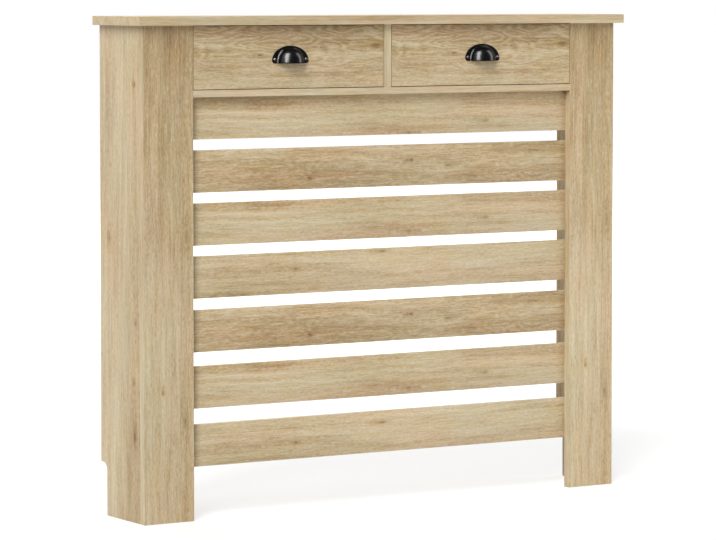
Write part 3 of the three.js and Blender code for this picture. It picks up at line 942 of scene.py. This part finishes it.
# %% One casting
def combined(base, tool, operation):
    """The base form joined with a tool, or cut by it, as a plain mesh."""
    holders = []
    for form in (base, tool):
        mesh = bpy.data.meshes.new("part")
        form.to_mesh(mesh)
        form.free()
        holders.append(new_object("part", mesh))
    boolean = holders[0].modifiers.new("combine", "BOOLEAN")
    boolean.operation = operation
    boolean.object = holders[1]
    boolean.solver = "EXACT"
    mesh = plain_mesh(holders[0])
    bpy.data.objects.remove(holders[1])
    return mesh


pull_mesh = combined(bowl, rim, "UNION")
pull_mesh.shade_smooth()
pull_mesh.set_sharp_from_angle(angle=PULL_SMOOTH_BELOW)
print("pull", len(pull_mesh.polygons), "faces")

# %% [markdown]
# The finish is a stoved black lacquer over the casting. It is a dielectric, not a metal:
# almost no colour of its own, and clear reflections of the strip lights. A very faint
# unevenness keeps the reflections from looking machined.

# %% Black lacquer and the two pulls
# The lacquer swells every 3 mm, and its dust specks are 0.7 mm apart. Rates per metre.
SWELL_RATE, DUST_RATE = 300, 1500

black_lacquer, tree, shader = new_material("black lacquered zinc casting")
place = add(tree, "ShaderNodeTexCoord").outputs["Object"]
swell = add(tree, "ShaderNodeTexNoise", {"Vector": place, "Scale": SWELL_RATE, "Detail": 2})
uneven = {"Height": swell, "Strength": 0.12, "Distance": 0.1 * MM}
uneven = add(tree, "ShaderNodeBump", uneven)
dust = add(tree, "ShaderNodeTexNoise", {"Vector": place, "Scale": DUST_RATE, "Detail": 1})
tone = {0: dust, 6: linear("#020202"), 7: linear("#060505")}
tone = add(tree, "ShaderNodeMix", tone, data_type="RGBA").outputs[2]
gloss = add(tree, "ShaderNodeMapRange", {"Value": dust, 1: 0.3, 2: 0.7, 3: 0.22, 4: 0.28})
feed(shader, {"Base Color": tone, "Roughness": gloss, "Normal": uneven})
feed(shader, {"Specular IOR Level": 0.05})
highlit = bpy.data.collections.new("highlit by the strips")

for side in ("left", "right"):
    name = side + "_cup_pull"
    low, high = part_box(name)
    mesh = pull_mesh.copy()
    mesh.transform(Matrix.Translation(((low.x + high.x) / 2, high.y, low.z)))
    mesh.materials.clear()
    mesh.materials.append(black_lacquer)
    pull = stand_in(mesh, name + "_cast", side + "_drawer", [name])
    highlit.objects.link(pull)
    print(name, "at x", round((low.x + high.x) / 2 / MM, 2), "mm")

# %% [markdown]
# ## Screws and cam locks
# Twenty screws and eight cam locks repeat, so each shape is made once and Geometry Nodes
# put it on its points. A screw is turned on a lathe and then punched with a cross. In a
# real cabinet no two crosses stand alike, so the tree spins each copy by a random angle
# from a fixed seed.


# %% Turned and punched shapes
def turned(profile, steps):
    """A closed form turned round the z axis from (radius, height) points in mm."""
    form = bmesh.new()
    foot = form.verts.new((0, 0, profile[0][1] * MM))
    top = form.verts.new((0, 0, profile[-1][1] * MM))
    rings = []
    for radius, height in profile[1:-1]:
        ring = []
        for step in range(steps):
            turn = 2 * math.pi * step / steps
            place = (radius * math.cos(turn) * MM, radius * math.sin(turn) * MM, height * MM)
            ring.append(form.verts.new(place))
        rings.append(ring)
    for step in range(steps):
        after = (step + 1) % steps
        form.faces.new((foot, rings[0][after], rings[0][step]))
        form.faces.new((top, rings[-1][step], rings[-1][after]))
        for lower, upper in zip(rings, rings[1:]):
            form.faces.new((lower[step], lower[after], upper[after], upper[step]))
    bmesh.ops.recalc_face_normals(form, faces=form.faces)
    return form


def cross_punch(arm, wide, top, depth):
    """The tapered cross that a punch leaves, from above the head down into it, in mm."""
    outline = [(wide, wide), (wide, arm), (-wide, arm), (-wide, wide), (-arm, wide), (-arm, -wide)]
    outline += [(-wide, -wide), (-wide, -arm), (wide, -arm), (wide, -wide), (arm, -wide), (arm, wide)]
    over = [(x * 1.15, y * 1.15, top + 1) for x, y in outline]
    under = [(x * 0.6, y * 0.6, top - depth) for x, y in outline]
    return loft([over, under])


# %% Screws
# Each one in mm: its shank's and its head's radius, its length below the head and the
# height of its head.
PULL_SCREW = (1.375, 2.75, 12, 1.75)
SLAT_SCREW = (1.75, 3.5, 22, 2.25)
BRACKET_SCREW = (1.75, 3.5, 12, 2.25)
PITCH = 1.1
POINT_LENGTH = 3
# The thread's root, as a share of the shank's radius.
ROOT = 0.8


def screw_mesh(shank, head, length, height):
    """A pan-head screw with its head on the plane z = 0 and its point down, in mm."""
    profile = [(0, -length), (shank * 0.55, -length + 1.4), (shank, -length + POINT_LENGTH)]
    for number in range(int((length - POINT_LENGTH - 1) / PITCH)):
        base = -length + POINT_LENGTH + number * PITCH
        profile.append((shank * ROOT, base + PITCH * 0.35))
        profile.append((shank, base + PITCH * 0.9))
    profile += [(shank, -0.4), (shank, 0), (head * 0.97, 0), (head, height * 0.1)]
    for step in range(7):
        turn = math.radians(15 * step)
        out = head * (0.55 + 0.45 * math.cos(turn))
        profile.append((out, height * (0.35 + 0.65 * math.sin(turn))))
    profile.append((0, height))
    punch = cross_punch(head * 0.62, head * 0.13, height, height * 0.75)
    return combined(turned(profile, 28), punch, "DIFFERENCE")


pull_screw = screw_mesh(*PULL_SCREW)
slat_screw = screw_mesh(*SLAT_SCREW)
bracket_screw = screw_mesh(*BRACKET_SCREW)
print("screw faces:", [len(m.polygons) for m in (pull_screw, slat_screw, bracket_screw)])

# %% Cam lock
CAM_RADIUS, CAM_DEPTH = 7.5, 12.0
profile = [(0, -CAM_DEPTH), (CAM_RADIUS - 0.3, -CAM_DEPTH), (CAM_RADIUS, -CAM_DEPTH + 0.3)]
profile += [(CAM_RADIUS, -0.35), (CAM_RADIUS - 0.35, 0), (CAM_RADIUS - 1.3, 0)]
profile += [(CAM_RADIUS - 1.6, -0.3), (CAM_RADIUS - 2.0, -0.3), (CAM_RADIUS - 2.3, 0), (0, 0)]
cam_lock = combined(turned(profile, 48), cross_punch(4.2, 0.85, 0, 2.2), "DIFFERENCE")
print("cam lock", len(cam_lock.polygons), "faces")

# %% Placing tree
place_tree, given = geometry_tree(
    "place copies", {"Part": "Object", "Turn": "Vector", "Seed": "Int", "Material": "Material"}
)
part = add(place_tree, "GeometryNodeObjectInfo", {"Object": given["Part"]}).outputs["Geometry"]
facing = add(place_tree, "FunctionNodeEulerToRotation", {0: given["Turn"]})
spin = {2: 0.0, 3: 2 * math.pi, "Seed": given["Seed"]}
spin = add(place_tree, "FunctionNodeRandomValue", spin, data_type="FLOAT").outputs[1]
spin = add(place_tree, "ShaderNodeCombineXYZ", {"Z": spin})
spin = add(place_tree, "FunctionNodeEulerToRotation", {0: spin})
facing = {"Rotation": facing, "Rotate By": spin}
facing = add(place_tree, "FunctionNodeRotateRotation", facing, rotation_space="LOCAL")
placed = {"Points": given["Geometry"], "Instance": part, "Rotation": facing}
placed = add(place_tree, "GeometryNodeInstanceOnPoints", placed)
whole = add(place_tree, "GeometryNodeRealizeInstances", {0: placed})
finished = {"Geometry": whole, "Material": given["Material"]}
finished = add(place_tree, "GeometryNodeSetMaterial", finished)
add(place_tree, "NodeGroupOutput", {0: finished})
print("placing tree:", len(place_tree.nodes), "nodes")

# %% [markdown]
# Three metals are left. The slat screws, the brackets and their screws are steel with a
# thin coat of electroplated zinc, which looks cool grey and slightly cloudy. The cam
# locks are die-cast zinc, duller and grainier. The pull screws are steel blackened in a
# hot bath, which still glints where it is rounded.

# %% Metals
# Each one: a darker and a lighter colour, the size of its clouding in mm and its gloss.
METALS = {
    "zinc_plated_steel": ("zinc-plated steel", "#9a9da1", "#c3c6c9", 4.0, 0.28, 0.42),
    "cast_zinc": ("die-cast zinc", "#8b8d90", "#acaeb0", 1.2, 0.42, 0.60),
    "black_steel": ("blackened steel", "#2a2826", "#403c38", 1.0, 0.32, 0.44),
}
metals = {}

for slot, (name, dark, light, cloud, smooth, rough) in METALS.items():
    metals[slot], tree, shader = new_material(name)
    place = add(tree, "ShaderNodeTexCoord").outputs["Object"]
    clouding = {"Vector": place, "Scale": 1 / (cloud * MM), "Detail": 4}
    clouding = add(tree, "ShaderNodeTexNoise", clouding)
    tone = {0: clouding, 6: linear(dark), 7: linear(light)}
    tone = add(tree, "ShaderNodeMix", tone, data_type="RGBA").outputs[2]
    gloss = {"Value": clouding, 1: 0.3, 2: 0.7, 3: smooth, 4: rough}
    gloss = add(tree, "ShaderNodeMapRange", gloss)
    grain = {"Height": clouding, "Strength": 0.2, "Distance": 0.05 * MM}
    grain = add(tree, "ShaderNodeBump", grain)
    feed(shader, {"Base Color": tone, "Roughness": gloss, "Normal": grain, "Metallic": 1.0})
    print(slot, "is", name)

# %% [markdown]
# Every copy stands on the middle of one face of its CAD part's box. A screw's seat is
# under its head, so it lies the head's height inside that face.

# %% Put the hardware in place
LOW, HIGH = 0, 1
METAL_SMOOTH_BELOW = math.radians(33)


def seat(node, axis, end, offset):
    """A point this far in mm along the axis from the middle of one face of a node's box."""
    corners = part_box(node)
    place = (corners[0] + corners[1]) / 2
    place[AXES[axis]] = corners[end][AXES[axis]] + offset * MM
    return place


def place_parts(name, shape, nodes, face, turn, body, slot, seed):
    """Copies of a shape on CAD nodes: face says where on each box, turn how they look."""
    source = new_object(name + "_source", shape)
    points = [seat(node, *face) for node in nodes]
    turn = [math.radians(angle) for angle in turn]
    inputs = {"Part": source, "Turn": turn, "Seed": seed, "Material": metals[slot]}
    mesh = grown(name, place_tree, points, inputs, smooth_below=METAL_SMOOTH_BELOW)
    bpy.data.objects.remove(source)
    item = stand_in(mesh, name, body, nodes)
    if slot == "black_steel":
        highlit.objects.link(item)
    print(name, "on", len(points), "points,", len(mesh.polygons), "faces")


zinc = "zinc_plated_steel"
nodes = [f"slat_{number}_{side}_screw" for number in range(1, 8) for side in ("left", "right")]
face = ("y", HIGH, -SLAT_SCREW[3])
place_parts("slat_screws", slat_screw, nodes, face, (-90, 0, 0), "carcass", zinc, 3)
nodes = ["left_bracket_screw", "right_bracket_screw"]
face = ("z", LOW, BRACKET_SCREW[3])
place_parts("bracket_screws", bracket_screw, nodes, face, (180, 0, 0), "carcass", zinc, 5)
for side, end, angle, seed in (("left", HIGH, 90, 7), ("right", LOW, -90, 11)):
    name = side + "_cam_lock"
    nodes = [f"{name}_{number}" for number in range(1, 5)]
    turn = (0, angle, 0)
    place_parts(name + "s", cam_lock, nodes, ("x", end, 0), turn, "carcass", "cast_zinc", seed)
for side in ("left", "right"):
    name = side + "_pull_screws"
    nodes = [f"{side}_pull_left_screw", f"{side}_pull_right_screw"]
    face = ("y", LOW, PULL_SCREW[3])
    body = side + "_drawer"
    place_parts(name, pull_screw, nodes, face, (90, 0, 0), body, "black_steel", 13)

# %% [markdown]
# Black lacquer shows almost nothing but its highlights. Two narrow strip lights and a card
# stand for what a photographer holds up for such a part, and light linking keeps them off
# the boards. Their settings are in the order of the soft boxes' settings.

# %% Strip lights for the pulls
STRIPS_OF_LIGHT = {
    "left strip": (-44, 34, 3.5, 1.6, 4.2, 2700),
    "left card": (-90, 34, 3.5, 2.6, 4.2, 280),
    "right strip": (62, 26, 3.5, 0.9, 3.2, 300),
}

for name, setting in STRIPS_OF_LIGHT.items():
    strip = soft_box(name, *setting)
    strip.light_linking.receiver_collection = highlit
    strip.visible_diffuse = False

# %% [markdown]
# The wall brackets are bent from 2 mm strip. Their CAD shape is right, so a copy with
# eased edges only needs its metal.

# %% Brackets
for side in ("left", "right"):
    name = side + "_wall_bracket"
    plain_part(name, "carcass", metals["zinc_plated_steel"], 0.25 * MM)
